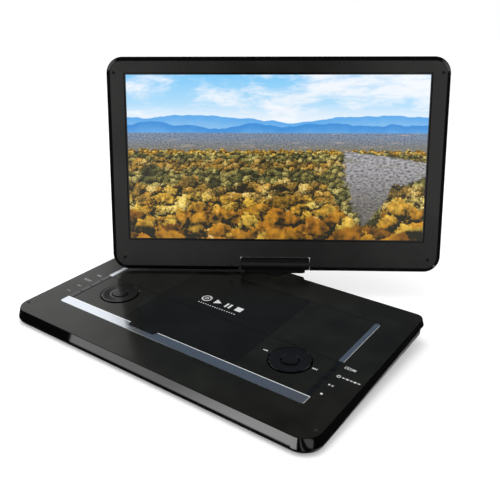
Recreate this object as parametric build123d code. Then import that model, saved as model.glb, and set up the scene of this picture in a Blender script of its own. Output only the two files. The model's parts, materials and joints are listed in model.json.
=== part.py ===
"""Portable disc player: a wedge-shaped base with a disc bay, and a wide screen on a swivel-and-tilt hinge.

Millimetres and degrees. Three local frames are used, and every piece is built in one of them:
  deck frame  origin at the centre of the base's flat top, +X right, +Y rear, +Z out of the deck
  hub frame   origin on the swivel axis at the height of the tilt axis, turned with the screen
  lid frame   origin on the tilt axis, +X along the axis, +Z up the screen, -Y the way the screen faces
The row frame has the table at Z = 0 and its origin under the middle of the object as it stands at rest.
"""

from build123d import *
import os
from math import atan, cos, degrees, radians, sin, tan

# ---- base ----
DECK_W, DECK_D, DECK_R, DECK_REAR_R = 384.0, 241.0, 18.0, 9.0  # corner radii at the front and the rear
RIM_OUT, RIM_H, RIM_LIP = 3.0, 10.5, 0.6
RIM_RISE_DEG = 0.85  # the rim gets shallower towards the rear
DECK_ROUND = 0.6  # radius of the edge between deck and rim
WEDGE_DEG, DECK_H = 3.5, 24.0  # slope of the deck, and its height over the table at the centre
WALL = 2.0
FOOT_H, FOOT_R = 2.0, 8.0
FOOT_PLACES = [(-160.0, -98.0), (160.0, -98.0), (-168.0, 90.0), (168.0, 90.0)]
BODY_W, BODY_FRONT, BODY_REAR, BODY_R = 372.0, -112.0, 110.0, 14.0
TRAY_INSET, TRAY_DEPTH, TRAY_SHELF = 1.2, 2.4, 1.2  # the bottom case's flange, under the rim
PARTING = 0.4
CASE_TOP = -RIM_H - RIM_LIP - PARTING  # at the front edge
CASE_SCREWS = [(-178.0, -104.0), (0.0, -104.0), (178.0, -104.0),
               (-150.0, 101.0), (-60.0, 101.0), (60.0, 101.0), (150.0, 101.0)]
SCREW_BOSS_R, SCREW_HEAD_R, SCREW_SHANK_R, SCREW_SHANK = 4.2, 2.8, 1.5, 7.4
BUMPER_R, BUMPER_PROUD, BUMPER_SEAT = 1.8, 0.5, 0.8
BUMPER_PLACES = [(-186.7, -104.0), (186.7, -104.0)]

# ---- sockets and switch in the left wall ----
JACK_Z = -17.0
JACKS_Y = (22.0, 36.0, 50.0)
USB_Y, CARD_Y, DC_Y, SWITCH_Y = 66.0, -2.0, 82.0, 95.0
SOCKET_HOLE_R, SOCKET_NOSE_R = 3.6, 3.4

# ---- screen hinge ----
HINGE_Y, HINGE_Z = 118.0, 10.5
SWIVEL_DEG, TILT_DEG = 33.1, 13.9  # rest pose: turned from straight ahead, leaning back from upright
BARREL_R, BARREL_L, BARREL_ROUND = 7.8, 84.0, 1.4
TURNTABLE_R, TURNTABLE_Z, TURNTABLE_T = 13.5, 0.6, 1.8
SHAFT_R, SHAFT_BORE_R, SHAFT_LENGTH, SHAFT_COLLAR = 6.0, 3.5, 20.0, 2.5
TILT_PIN_R, PIN_IN, PIN_OUT = 2.0, 22.0, 64.0
SLEEVE_R, RUN_GAP = 5.0, 0.04
BLOCK_HALF, BLOCK_OUT, BLOCK_DEEP, BLOCK_R = 39.0, 4.5, 60.0, 6.5  # rear hinge housing of the top cover
BOSS_R = 14.5  # round boss under the turntable
BOSS_INSET = 0.8  # of the bottom case's half of the hinge housing
BRACKET_NECK, BRACKET_T = 8.0, 1.5

# ---- lid ----
LID_W, LID_LOW, LID_HIGH, LID_R = 397.6, -7.4, 244.2, 19.0
LID_FRONT, LID_BACK, LID_SPLIT = 8.0, -6.0, 2.0  # distances from the tilt axis towards the viewer
BEZEL_SLANT, BEZEL_EDGE, LID_SEAM = 5.0, 0.8, 0.15
LID_WALL = 1.8
BEZEL_ROUND, WINDOW_BEVEL = 1.0, 0.5
VIEW_W, VIEW_H, VIEW_MID = 354.4, 195.2, 127.7
NOTCH_HALF, NOTCH_TOP = 42.4, 9.6
LID_SCREWS = [(-183.0, 8.3), (183.0, 8.3), (-189.0, 225.7), (189.0, 225.7)]
LID_STOPS = [(-53.2, -0.2), (53.2, -0.2)]
SCREW_WELL_R, SCREW_WELL_DEPTH = 2.1, 3.2
PANEL_N0, PANEL_N1, BACKLIGHT_N0, BACKLIGHT_N1 = 4.6, 6.1, 1.4, 4.5

# ---- deck furniture ----
STRIP_Y0, STRIP_Y1, STRIP_HALF, STRIP_PROUD, STRIP_SEAT = -81.5, -68.7, 160.5, 0.35, 0.7
BAR_X, BAR_W, BAR_Y0, BAR_SPLIT, BAR_Y1 = 157.7, 6.2, -68.7, -6.5, 77.0
KEY_COUNT, KEY_PROUD, KEY_GAP, KEY_DEPTH = 4, 0.5, 0.2, 2.6
KEY_PITCH = (BAR_SPLIT - BAR_Y0) / KEY_COUNT
TRIM_TUCK = 8.0  # how far the side trim's outline runs on forwards before it is cut off behind the keys
TRIM_LENGTH, TRIM_MIDDLE = BAR_Y1 - BAR_SPLIT + TRIM_TUCK, (BAR_Y1 + BAR_SPLIT - TRIM_TUCK) / 2
PAD_X, PAD_Y, RING_R, RING_BORE, PAD_GAP = 116.0, -31.5, 21.0, 9.0, 0.4
RING_PROUD, OK_R, OK_PROUD = 0.8, 8.2, 1.2
BOARD_TOP, SWITCH_TOP, ROCK_SWITCH_R, MAIN_BOARD_TOP = -4.9, -3.8, 16.0, -10.8
SEAM_W, SEAM_D, MID_SEAM_Y, REAR_SEAM_Y = 0.5, 0.4, -7.2, 78.0
NOTCH_X0, NOTCH_X1, NOTCH_Y = -60.0, -23.0, -74.6
LATCH_X, LATCH_TOP, WEDGE_Y, CATCH_Y = -43.0, -5.3, -71.4, -66.0  # CATCH_Y: front of the leg under the door
SPEAKER_X, SPEAKER_Y, SPEAKER_R = 135.0, 82.0, 15.0
SLOT_PITCH, SLOT_HALF = 4.2, 0.9

# ---- disc bay ----
DOOR_HALF, DOOR_Y0, DOOR_Y1, DOOR_T, DOOR_GAP = 75.0, -68.5, 77.6, 2.0, 0.25
DOOR_REAR_GAP = 0.6  # room for the tail's corner as it swings down
PIVOT_Y, PIVOT_Z, KNUCKLE_R, DOOR_PIN_R = 62.0, -5.0, 2.4, 1.0
DISC_Y, WELL_R, WELL_FLOOR, WELL_T = -5.0, 61.0, -7.5, 1.5
HUB_R, PLATTER_R, SPINDLE_R, DISC_REST = 7.4, 13.0, 1.0, -6.2
SLED_MOTOR_R, SCREW_END_R = 3.4, 1.0
MOTOR_R, RAIL_R, RAIL_OFF, RAIL_Z = 12.0, 1.5, 15.0, -12.8
SLED_X0, SLED_L, SLED_TOP, SLED_T, SLED_W = 17.0, 28.0, -9.7, 6.0, 36.0
CHASSIS_X0, CHASSIS_X1, CHASSIS_LOW = 12.5, 84.0, -17.4
SCREW_Y, SCREW_R = DISC_Y + 22.5, 1.6
LENS_X, LENS_R = 23.0, 3.0

RIM_TAPER = degrees(atan(RIM_OUT / RIM_H))
RIM_W, RIM_D = DECK_W + 2 * RIM_OUT, DECK_D + 2 * RIM_OUT
DECK_TO_ROW = Location((0, 0, DECK_H), (WEDGE_DEG, 0, 0))
HUB_TO_ROW = DECK_TO_ROW * Location((0, HINGE_Y, HINGE_Z), (0, 0, SWIVEL_DEG))
LID_TO_ROW = HUB_TO_ROW * Location((0, 0, 0), (-TILT_DEG, 0, 0))


def slab(width, depth, radius, z0, z1, x=0.0, y=0.0, taper=0.0):
    """A rounded-rectangle prism from z0 up to z1, narrowing upwards by taper degrees."""
    return Pos(x, y, z0) * extrude(RectangleRounded(width, depth, radius), z1 - z0, taper=taper)


def block(x0, x1, y0, y1, z0, z1):
    return Pos((x0 + x1) / 2, (y0 + y1) / 2, (z0 + z1) / 2) * Box(x1 - x0, y1 - y0, z1 - z0)


def post(radius, z0, z1, x=0.0, y=0.0):
    return Pos(x, y, (z0 + z1) / 2) * Cylinder(radius, z1 - z0)


def rod_x(radius, x0, x1, y, z):
    return Pos((x0 + x1) / 2, y, z) * Rot(0, 90, 0) * Cylinder(radius, x1 - x0)


def rod_y(radius, y0, y1, x, z):
    return Pos(x, (y0 + y1) / 2, z) * Rot(90, 0, 0) * Cylinder(radius, y1 - y0)


def both_sides(shape):
    return [shape, mirror(shape, about=Plane.YZ)]


def floor_z(y, lift):
    """Deck-frame height of a plane parallel to the table and lift above it, at depth y."""
    return -(DECK_H - lift) / cos(radians(WEDGE_DEG)) - y * tan(radians(WEDGE_DEG))


def above_table(shape, lift):
    """The part of a deck-frame shape that is more than lift above the table."""
    slope = radians(WEDGE_DEG)
    plane = Plane(origin=(0, 0, floor_z(0, lift)), z_dir=(0, sin(slope), cos(slope)))
    return split(shape, bisect_by=plane, keep=Keep.TOP)


def parting_plane(drop):
    """The plane that the rim's lower edge lies in, or one that is drop below it."""
    tilt = radians(RIM_RISE_DEG)
    return Plane(origin=(0, -RIM_D / 2, -RIM_H - RIM_LIP - drop), z_dir=(0, -sin(tilt), cos(tilt)))


def on_table(shape):
    """Carries a shape built square to the table, at deck x and y, into the deck frame."""
    return DECK_TO_ROW.inverse() * shape


# ---- base shells ----
def trim_outline(grow):
    """The front trim strip's outline: rounded outer corners, and a step for the open button."""
    half, y0, y1 = STRIP_HALF + grow, STRIP_Y0 - grow, STRIP_Y1 + grow
    body = Pos(0, (y0 + y1) / 2) * RectangleRounded(2 * half, y1 - y0, 3.0)
    corner = 6.0
    for x in (-half + 3, half - 3):
        body += Pos(x, y1 - corner / 2) * Rectangle(6.0, corner)
    step = Polyline(
        (NOTCH_X0 - 1.5 + grow, STRIP_Y1 + 2), (NOTCH_X0 + 1.0 + grow, NOTCH_Y + grow),
        (NOTCH_X1 - 1.0 - grow, NOTCH_Y + grow), (NOTCH_X1 + 2.5 - grow, STRIP_Y1 + 2), close=True)
    return body - make_face(step)


def rim_outline():
    """The rim's outline: a rounded rectangle with tighter corners at the rear."""
    rear_half = Pos(0, RIM_D / 4) * Rectangle(RIM_W, RIM_D / 2)
    rear = rear_half & RectangleRounded(RIM_W, RIM_D, DECK_REAR_R + RIM_OUT)
    return RectangleRounded(RIM_W, RIM_D, DECK_R + RIM_OUT) + rear


def base_top_cover():
    low = -RIM_H - RIM_LIP
    cover = Pos(0, 0, -RIM_H) * extrude(rim_outline(), RIM_H, taper=RIM_TAPER)
    cover += Pos(0, 0, low) * extrude(rim_outline(), RIM_LIP)
    house_w, house_y = 2 * (BLOCK_HALF + RIM_OUT), RIM_D / 2 + BLOCK_OUT - BLOCK_DEEP / 2
    for z0, z1, taper in ((-RIM_H, 0, RIM_TAPER), (low, -RIM_H, 0)):
        cover += slab(house_w, BLOCK_DEEP, BLOCK_R, z0, z1, y=house_y, taper=taper)
    cover += post(BOSS_R, low, 0, y=HINGE_Y)
    cover = fillet(cover.edges().group_by(Axis.Z)[-1], DECK_ROUND)
    cover = split(cover, bisect_by=parting_plane(0), keep=Keep.TOP)
    inside_low = low - 1
    cover -= slab(RIM_W - 2 * WALL - 0.6, RIM_D - 2 * WALL - 0.6, DECK_R, inside_low, -WALL, taper=RIM_TAPER)
    cover -= post(BOSS_R - WALL, inside_low, -WALL, y=HINGE_Y)
    cover += post(SHAFT_R + SHAFT_COLLAR, -RIM_H, -WALL, y=HINGE_Y)
    cover -= post(SHAFT_R + RUN_GAP, inside_low, 1, y=HINGE_Y)
    # trim seats
    cover -= Pos(0, 0, -STRIP_SEAT) * extrude(trim_outline(0.1), STRIP_SEAT + 1)
    key_slot = block(BAR_X - BAR_W / 2, BAR_X + BAR_W / 2, BAR_Y0, BAR_SPLIT, -WALL - 1, 1)
    trim_seat = slab(BAR_W, TRIM_LENGTH, 3.0, -STRIP_SEAT, 1, x=BAR_X, y=TRIM_MIDDLE)
    for cut in both_sides(key_slot) + both_sides(trim_seat):
        cover -= cut
    # pads, with a chamfered mouth
    for x in (-PAD_X, PAD_X):
        cover -= post(RING_R + PAD_GAP, -WALL - 1, 1, x=x, y=PAD_Y)
        cover -= Pos(x, PAD_Y, -0.4) * Cone(RING_R + PAD_GAP, RING_R + PAD_GAP + 1.2, 0.8)
    # disc bay opening and the open button's slot
    bay_half = DOOR_HALF + DOOR_GAP
    cover -= block(-bay_half, bay_half, DOOR_Y0, DOOR_Y1 + DOOR_REAR_GAP, -WALL - 1, 1)
    cover -= block(NOTCH_X0, NOTCH_X1, NOTCH_Y, DOOR_Y0 + 0.1, -WALL - 1, 1)
    # pin bosses beside the bay
    boss = block(bay_half, bay_half + 6, PIVOT_Y - 3, PIVOT_Y + 3, PIVOT_Z - 3, -WALL)
    for side in both_sides(boss):
        cover += side
    cover -= rod_x(DOOR_PIN_R, -bay_half - 4, bay_half + 4, PIVOT_Y, PIVOT_Z)
    # fine panel seams
    panel_half = BAR_X - BAR_W / 2
    for x0, x1 in ((-panel_half, -DOOR_HALF), (DOOR_HALF, panel_half)):
        cover -= block(x0, x1, MID_SEAM_Y - SEAM_W / 2, MID_SEAM_Y + SEAM_W / 2, -SEAM_D, 1)
    cover -= block(-panel_half, panel_half, REAR_SEAM_Y - SEAM_W / 2, REAR_SEAM_Y + SEAM_W / 2, -SEAM_D, 1)
    for side in (-1, 1):
        cover += latch_guide(side)
    # small rubber bumper seats in the front corners
    for x, y in BUMPER_PLACES:
        cover -= post(BUMPER_R, -BUMPER_SEAT, 1, x=x, y=y)
    return cover


def body_prism(inset, z0, z1):
    mid = (BODY_FRONT + BODY_REAR) / 2
    depth = BODY_REAR - BODY_FRONT - 2 * inset
    return slab(BODY_W - 2 * inset, depth, BODY_R - inset, z0, z1, y=mid)


def speaker_slots(low):
    """Slots under the two speakers; their ends follow the round outline."""
    top = floor_z(SPEAKER_Y, FOOT_H + WALL) + 1
    slots = []
    for k in range(-3, 4):
        half = (SPEAKER_R**2 - (SLOT_PITCH * k) ** 2) ** 0.5 - 1.5
        y = SPEAKER_Y + SLOT_PITCH * k
        slots += both_sides(block(SPEAKER_X - half, SPEAKER_X + half, y - SLOT_HALF, y + SLOT_HALF, low, top))
    return slots


def base_bottom_case():
    tray_w, tray_d, tray_r = RIM_W - 2 * TRAY_INSET, RIM_D - 2 * TRAY_INSET, DECK_R + RIM_OUT - TRAY_INSET
    tray_low, deep = CASE_TOP - TRAY_DEPTH, floor_z(BODY_REAR, 0) - 5
    case = slab(tray_w, tray_d, tray_r, tray_low, 0) + body_prism(0, deep, tray_low)
    case = above_table(case, FOOT_H) + post(BOSS_R - BOSS_INSET, CASE_TOP - 10, 0, y=HINGE_Y)
    case = split(case, bisect_by=parting_plane(PARTING), keep=Keep.BOTTOM)
    case -= slab(tray_w - 2 * WALL, tray_d - 2 * WALL, tray_r - WALL, tray_low + TRAY_SHELF, 0)
    inside = body_prism(WALL, deep, tray_low + WALL)
    case -= above_table(inside, FOOT_H + WALL)
    case -= post(BOSS_R - BOSS_INSET - WALL, CASE_TOP - 8, 0, y=HINGE_Y)
    neck = BRACKET_NECK + 0.5
    case -= block(-neck, neck, BODY_REAR - 5, HINGE_Y, CASE_TOP - 2.5, CASE_TOP + 1)
    # side-wall openings
    wall_out, wall_in = -BODY_W / 2 - 1, -BODY_W / 2 + WALL + 1
    for y in (*JACKS_Y, DC_Y):
        case -= rod_x(SOCKET_HOLE_R, wall_out, wall_in, y, JACK_Z)
    case -= block(wall_out, wall_in, USB_Y - 6.8, USB_Y + 6.8, JACK_Z - 2.9, JACK_Z + 2.9)
    case -= block(wall_out, wall_in, CARD_Y - 12.4, CARD_Y + 12.4, JACK_Z - 1.5, JACK_Z + 1.5)
    case -= block(wall_out, wall_in, SWITCH_Y - 4.2, SWITCH_Y + 4.2, JACK_Z - 1.6, JACK_Z + 1.6)
    for slot in speaker_slots(deep):
        case -= slot
    # foot seats and screw holes, cut square to the table
    for x, y in FOOT_PLACES:
        case -= on_table(post(FOOT_R + 0.1, FOOT_H - 1, FOOT_H + 0.6, x=x, y=y))
    for x, y in CASE_SCREWS:
        case += above_table(post(SCREW_BOSS_R, floor_z(y, FOOT_H) - 1, CASE_TOP - 0.1, x=x, y=y), FOOT_H)
        case -= on_table(post(SCREW_HEAD_R + 0.3, 0, FOOT_H + 1.6, x=x, y=y))
        case -= on_table(post(SCREW_SHANK_R + 0.1, 0, FOOT_H + 40, x=x, y=y))
    return case


def rubber_feet():
    return [on_table(post(FOOT_R, 0, FOOT_H + 0.6, x=x, y=y)) for x, y in FOOT_PLACES]


def deck_bumpers():
    bumpers = []
    for x, y in BUMPER_PLACES:
        bumper = post(BUMPER_R - 0.05, -BUMPER_SEAT, BUMPER_PROUD, x=x, y=y)
        bumpers.append(fillet(bumper.edges().group_by(Axis.Z)[-1], 0.3))
    return bumpers


def case_screws():
    screws = []
    for x, y in CASE_SCREWS:
        head_top = FOOT_H + 1.6
        screw = post(SCREW_HEAD_R, FOOT_H + 0.2, head_top, x=x, y=y)
        screw += post(SCREW_SHANK_R, head_top, head_top + SCREW_SHANK, x=x, y=y)
        screw -= Pos(x, y, FOOT_H + 0.2) * (Box(3.2, 0.7, 1.0) + Box(0.7, 3.2, 1.0))
        screws.append(above_table(on_table(screw), 0))
    return screws


# ---- deck trims and controls ----
def front_trim_strip():
    strip = Pos(0, 0, -STRIP_SEAT) * extrude(trim_outline(0.0), STRIP_SEAT + STRIP_PROUD)
    return chamfer(strip.edges().group_by(Axis.Z)[-1], 0.3)


def side_trim_strips():
    strip = slab(BAR_W - 0.2, TRIM_LENGTH, 2.9, -STRIP_SEAT, STRIP_PROUD, x=BAR_X, y=TRIM_MIDDLE)
    strip -= block(BAR_X - BAR_W, BAR_X + BAR_W, BAR_SPLIT - 12, BAR_SPLIT + 0.2, -5, 5)
    return both_sides(chamfer(strip.edges().group_by(Axis.Z)[-1], 0.25))


def key_centre(index):
    return BAR_Y0 + KEY_PITCH * (index + 0.5)


def function_key(side, index):
    """One cap of the row of four in each side bar; index 0 is the front one."""
    width, length = BAR_W - 2 * KEY_GAP, KEY_PITCH - 2 * KEY_GAP
    cap = slab(width, length, 0.6, -KEY_DEPTH, KEY_PROUD)
    cap = fillet(cap.edges().group_by(Axis.Z)[-1], 0.35)
    stem = post(1.4, -KEY_DEPTH - 0.5, -KEY_DEPTH)
    return Pos(side * BAR_X, key_centre(index), 0) * (cap + stem)


def nav_ring():
    """Four-way rocker ring, slightly dished, with its pad centre at the local origin."""
    low, top = -3.0, RING_PROUD
    profile = Polyline((RING_BORE, low), (RING_R, low), (RING_R, top - 0.5), (RING_R - 0.6, top),
                       (RING_R - 2.2, top), (RING_BORE + 2.6, top - 0.45), (RING_BORE + 0.4, top - 0.2),
                       (RING_BORE, top - 0.6), close=True)
    return revolve(Plane.XZ * make_face(profile), Axis.Z)


def rocker_pivot():
    """Soft gimbal ring under the rocker."""
    return post(12.4, -4.2, -3.4) - post(9.8, -5, -3)


def ok_button():
    cap = post(OK_R, -2.2, OK_PROUD) + post(2.0, -3.0, -2.2)
    top = cap.edges().group_by(Axis.Z)[-1]
    return fillet(top, 0.6)


def key_boards():
    """Boards with a soldered tact switch under each key and pad centre, and four under each rocker ring."""
    board = block(84.0, 170.0, -71.0, 0.0, BOARD_TOP - 1.2, BOARD_TOP)
    places = [(BAR_X, key_centre(i)) for i in range(KEY_COUNT)] + [(PAD_X, PAD_Y)]
    for way in (-ROCK_SWITCH_R, ROCK_SWITCH_R):
        places += [(PAD_X + way, PAD_Y), (PAD_X, PAD_Y + way)]
    for x, y in places:
        board += block(x - 2, x + 2, y - 2, y + 2, BOARD_TOP, BOARD_TOP + 0.6)
        board += post(1.2, BOARD_TOP + 0.6, SWITCH_TOP, x=x, y=y)
    return both_sides(board)


def open_button():
    y0, y1 = NOTCH_Y + 0.15, DOOR_Y0 - 0.1
    corners = ((NOTCH_X0 + 0.4, y1), (NOTCH_X0 + 1.4, y0), (NOTCH_X1 - 1.4, y0), (NOTCH_X1 - 0.4, y1))
    button = Pos(0, 0, -3.4) * extrude(make_face(Polyline(*corners, close=True)), 3.4 + 0.3)
    button = fillet(button.edges().group_by(Axis.Z)[-1], 0.25)
    front, rear, root, tip = WEDGE_Y - 1.6, WEDGE_Y + 0.8, -3.4, -5.0
    wedge = Polyline((WEDGE_Y, tip), (front, tip + 1.0), (front, root), (rear, root), (rear, tip), close=True)
    return button + Pos(LATCH_X - 3, 0, 0) * extrude(Plane.YZ * make_face(wedge), 6.0)


def door_latch():
    """Slider over the door's catch; the open button's wedge cams it forwards through its window."""
    bar = block(LATCH_X - 7, LATCH_X + 7, -78.0, -70.0, LATCH_TOP - 1.9, LATCH_TOP)
    bar += block(LATCH_X - 5, LATCH_X + 5, -70.0, CATCH_Y - 1.75, LATCH_TOP - 1.9, LATCH_TOP)
    window = block(LATCH_X - 3.2, LATCH_X + 3.2, WEDGE_Y + 0.3, WEDGE_Y + 2.6, LATCH_TOP - 3, LATCH_TOP + 1)
    return bar - window


def latch_guide(side):
    x0, x1 = sorted((LATCH_X + side * 7.3, LATCH_X + side * 9.6))
    return block(x0, x1, -79.0, -69.2, -7.6, -4.7) + block(x0, x1, -79.0, -75.2, -4.7, -WALL)


def latch_spring():
    """Return spring in front of the latch, drawn as the sleeve its coil fills."""
    y0, y1, z = -84.0, -78.0, LATCH_TOP - 0.95
    return rod_y(0.9, y0, y1, LATCH_X, z) - rod_y(0.6, y0 - 1, y1 + 1, LATCH_X, z)


# ---- disc bay ----
def disc_door():
    """Flat door; it turns on two arms below the deck, and its tail swings down inside the case."""
    w0, w1 = -DOOR_HALF, DOOR_HALF
    door = block(w0, w1, DOOR_Y0 + 0.05, DOOR_Y1, -DOOR_T, 0)
    arm = block(w1 - 6, w1 - 0.1, PIVOT_Y - 2, PIVOT_Y + 2, PIVOT_Z, -DOOR_T)
    arm += rod_x(KNUCKLE_R, w1 - 6, w1 - 0.1, PIVOT_Y, PIVOT_Z)
    arm -= rod_x(DOOR_PIN_R + RUN_GAP, w1 - 7, w1 + 1, PIVOT_Y, PIVOT_Z)
    for side in both_sides(arm):
        door += side
    door -= block(w0 - 1, w1 + 1, MID_SEAM_Y - SEAM_W / 2, MID_SEAM_Y + SEAM_W / 2, -SEAM_D, 1)
    leg = block(LATCH_X - 3, LATCH_X + 3, CATCH_Y, CATCH_Y + 1.2, -8.4, -DOOR_T)
    lip = block(LATCH_X - 3, LATCH_X + 3, CATCH_Y - 1.2, CATCH_Y, -8.4, -7.5)
    return door + leg + lip


def door_hinge_pins():
    return both_sides(rod_x(DOOR_PIN_R, DOOR_HALF - 6.0, DOOR_HALF + DOOR_GAP + 4, PIVOT_Y, PIVOT_Z))


def disc_well():
    """Tray that the disc spins in, with a hole for the motor and a window for the pickup."""
    top, low = -DOOR_T - 0.5, WELL_FLOOR - WELL_T
    well = block(-73.0, 73.0, -62.0, 57.0, low, top) + block(-73.0, -50.0, -68.0, -62.0, low, top)
    well += block(-36.0, 73.0, -68.0, -62.0, low, top)
    well -= post(WELL_R, WELL_FLOOR, 0, y=DISC_Y)
    well -= post(PLATTER_R + 1.0, low - 1, 0, y=DISC_Y)
    well -= slab(46.0, 24.0, 5.0, low - 1, 0, x=LENS_X + 16.0, y=DISC_Y)
    return well


def spindle_motor():
    motor = post(MOTOR_R, -16.0, WELL_FLOOR - WELL_T - 0.3, y=DISC_Y)
    return motor - post(SPINDLE_R + RUN_GAP, -17.0, 0, y=DISC_Y)


def spindle_hub():
    hub = post(PLATTER_R, DISC_REST - 1.1, DISC_REST, y=DISC_Y)
    cone = post(HUB_R, DISC_REST, DISC_REST + 2.6, y=DISC_Y)
    hub += fillet(cone.edges().group_by(Axis.Z)[-1], 0.9)
    for k in range(3):
        ball_at = Pos(0, DISC_Y, DISC_REST + 1.5) * Rot(0, 0, 120 * k + 90) * Pos(HUB_R - 0.4, 0, 0)
        hub += ball_at * Sphere(0.8)
    return hub + post(SPINDLE_R, -15.8, DISC_REST - 1.1, y=DISC_Y)


def drive_chassis():
    """Pressed frame under the well that carries the motor, the two rails and the lead screw."""
    y0, y1 = DISC_Y - 20.0, DISC_Y + 27.0
    plate = block(-16.0, CHASSIS_X1 + 2.0, y0, y1, CHASSIS_LOW, CHASSIS_LOW + 1.2)
    for x in (CHASSIS_X0, CHASSIS_X1):
        plate += block(x, x + 1.5, y0, y0 + 8.0, CHASSIS_LOW, RAIL_Z + 3.0)
        plate += block(x, x + 1.5, y1 - 16.5, y1, CHASSIS_LOW, RAIL_Z + 3.0)
    for y in (DISC_Y - RAIL_OFF, DISC_Y + RAIL_OFF):
        plate -= rod_x(RAIL_R, CHASSIS_X0 - 1, CHASSIS_X1 + 3, y, RAIL_Z)
    return plate - rod_x(SCREW_R + 0.1, CHASSIS_X0 - 1, CHASSIS_X1 + 3, SCREW_Y, RAIL_Z)


def guide_rails():
    return [rod_x(RAIL_R, CHASSIS_X0, CHASSIS_X1 + 1.5, DISC_Y + s * RAIL_OFF, RAIL_Z) for s in (-1, 1)]


def pickup_sled():
    x1, half = SLED_X0 + SLED_L, SLED_W / 2
    sled = block(SLED_X0, x1, DISC_Y - half, DISC_Y + half, SLED_TOP - SLED_T, SLED_TOP)
    sled += block(28.0, 34.0, DISC_Y + half, SCREW_Y + 3.0, RAIL_Z - 2.4, RAIL_Z + 2.4)
    for s in (-1, 1):
        sled -= rod_x(RAIL_R + RUN_GAP, SLED_X0 - 1, x1 + 1, DISC_Y + s * RAIL_OFF, RAIL_Z)
    sled -= rod_x(SCREW_R + RUN_GAP, SLED_X0, x1, SCREW_Y, RAIL_Z)
    return sled - post(LENS_R + 1.2, SLED_TOP - 2.5, SLED_TOP + 1, x=LENS_X, y=DISC_Y)


def objective_lens():
    lens = post(LENS_R, SLED_TOP - 1.2, SLED_TOP + 1.2, x=LENS_X, y=DISC_Y)
    dome = Pos(LENS_X, DISC_Y, SLED_TOP - 5.0) * Sphere(6.9)
    return lens + (dome & post(LENS_R - 0.4, SLED_TOP, 0, x=LENS_X, y=DISC_Y))


def sled_motor():
    motor = rod_x(SLED_MOTOR_R, 0.0, CHASSIS_X0, SCREW_Y, RAIL_Z)
    return motor - rod_x(SCREW_END_R + RUN_GAP, -1, CHASSIS_X0 + 1, SCREW_Y, RAIL_Z)


def lead_screw():
    screw = rod_x(SCREW_R, CHASSIS_X0 + 0.2, CHASSIS_X1 + 1.2, SCREW_Y, RAIL_Z)
    return screw + rod_x(SCREW_END_R, 0.5, CHASSIS_X0 + 0.2, SCREW_Y, RAIL_Z)


# ---- electronics ----
def main_board():
    """Main board with its processor, memory, power coil and capacitors soldered on."""
    top = MAIN_BOARD_TOP
    board = block(90.0, 176.0, -84.0, 58.0, top - 1.6, top)
    board += block(118.0, 138.0, -20.0, 0.0, top, top + 1.4)
    board += block(144.0, 156.0, -16.0, -6.0, top, top + 1.1)
    board += block(100.0, 112.0, 30.0, 42.0, top, top + 4.0)
    for k in range(4):
        board += post(3.2, top, top + 3.6, x=122.0 + 9.0 * k, y=36.0)
    return board


def battery_pack():
    return slab(80.0, 96.0, 3.0, -15.2, -7.4, x=-124.0, y=-6.0)


def jack(y, outer, bore, length):
    x0 = -BODY_W / 2 + WALL
    body = block(x0, x0 + length, y - outer, y + outer, JACK_Z - outer, JACK_Z + outer)
    body += rod_x(SOCKET_NOSE_R, x0 - 1.4, x0, y, JACK_Z)
    return body - rod_x(bore, x0 - 2, x0 + length - 1.5, y, JACK_Z)


def audio_jacks():
    """Three identical 3.5 mm sockets: two for headphones, one for the picture and sound cable."""
    return [jack(y, 3.2, 1.8, 15.0) for y in JACKS_Y]


def dc_jack():
    """Power inlet with its centre pin."""
    x0 = -BODY_W / 2 + WALL
    return jack(DC_Y, 4.0, 2.8, 13.0) + rod_x(0.8, x0 - 0.5, x0 + 12.0, DC_Y, JACK_Z)


def usb_socket():
    x0 = -BODY_W / 2 + 0.6
    shell = block(x0, x0 + 13.0, USB_Y - 6.6, USB_Y + 6.6, JACK_Z - 2.7, JACK_Z + 2.7)
    shell -= block(x0 - 1, x0 + 12.4, USB_Y - 6.1, USB_Y + 6.1, JACK_Z - 2.2, JACK_Z + 2.2)
    return shell + block(x0 + 1.5, x0 + 12.5, USB_Y - 5.2, USB_Y + 5.2, JACK_Z + 0.3, JACK_Z + 1.6)


def card_slot():
    x0 = -BODY_W / 2 + WALL
    shell = block(x0, x0 + 18.0, CARD_Y - 14.0, CARD_Y + 14.0, JACK_Z - 2.0, JACK_Z + 2.0)
    return shell - block(x0 - 1, x0 + 16.5, CARD_Y - 12.2, CARD_Y + 12.2, JACK_Z - 1.3, JACK_Z + 1.3)


def power_switch():
    """Slide button of the power switch, in its off position."""
    wall, y0, y1 = -BODY_W / 2, SWITCH_Y - 4.0, SWITCH_Y
    cap = block(wall - 0.8, wall + WALL + 0.5, y0, y1, JACK_Z - 1.4, JACK_Z + 1.4)
    return cap + block(wall + WALL + 0.5, wall + WALL + 2.0, y0, y1, JACK_Z - 2.6, JACK_Z + 2.6)


def switch_body():
    x0 = -BODY_W / 2 + WALL + 2.2
    return block(x0, x0 + 4.5, SWITCH_Y - 5.0, SWITCH_Y + 5.0, JACK_Z - 3.0, JACK_Z + 3.0)


def speakers():
    """Two round drivers that face the table through the case's slots."""
    floor = floor_z(SPEAKER_Y, FOOT_H + WALL) + 1.4
    driver = post(SPEAKER_R, floor, floor + 2.0, y=SPEAKER_Y)
    driver += post(10.5, floor + 2.0, floor + 5.0, y=SPEAKER_Y)
    driver += post(7.0, floor + 5.0, floor + 8.0, y=SPEAKER_Y)
    driver -= Pos(0, SPEAKER_Y, floor + 0.9) * Cone(SPEAKER_R - 2.0, 6.0, 1.8)
    return both_sides(Pos(SPEAKER_X, 0, 0) * driver)


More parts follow.
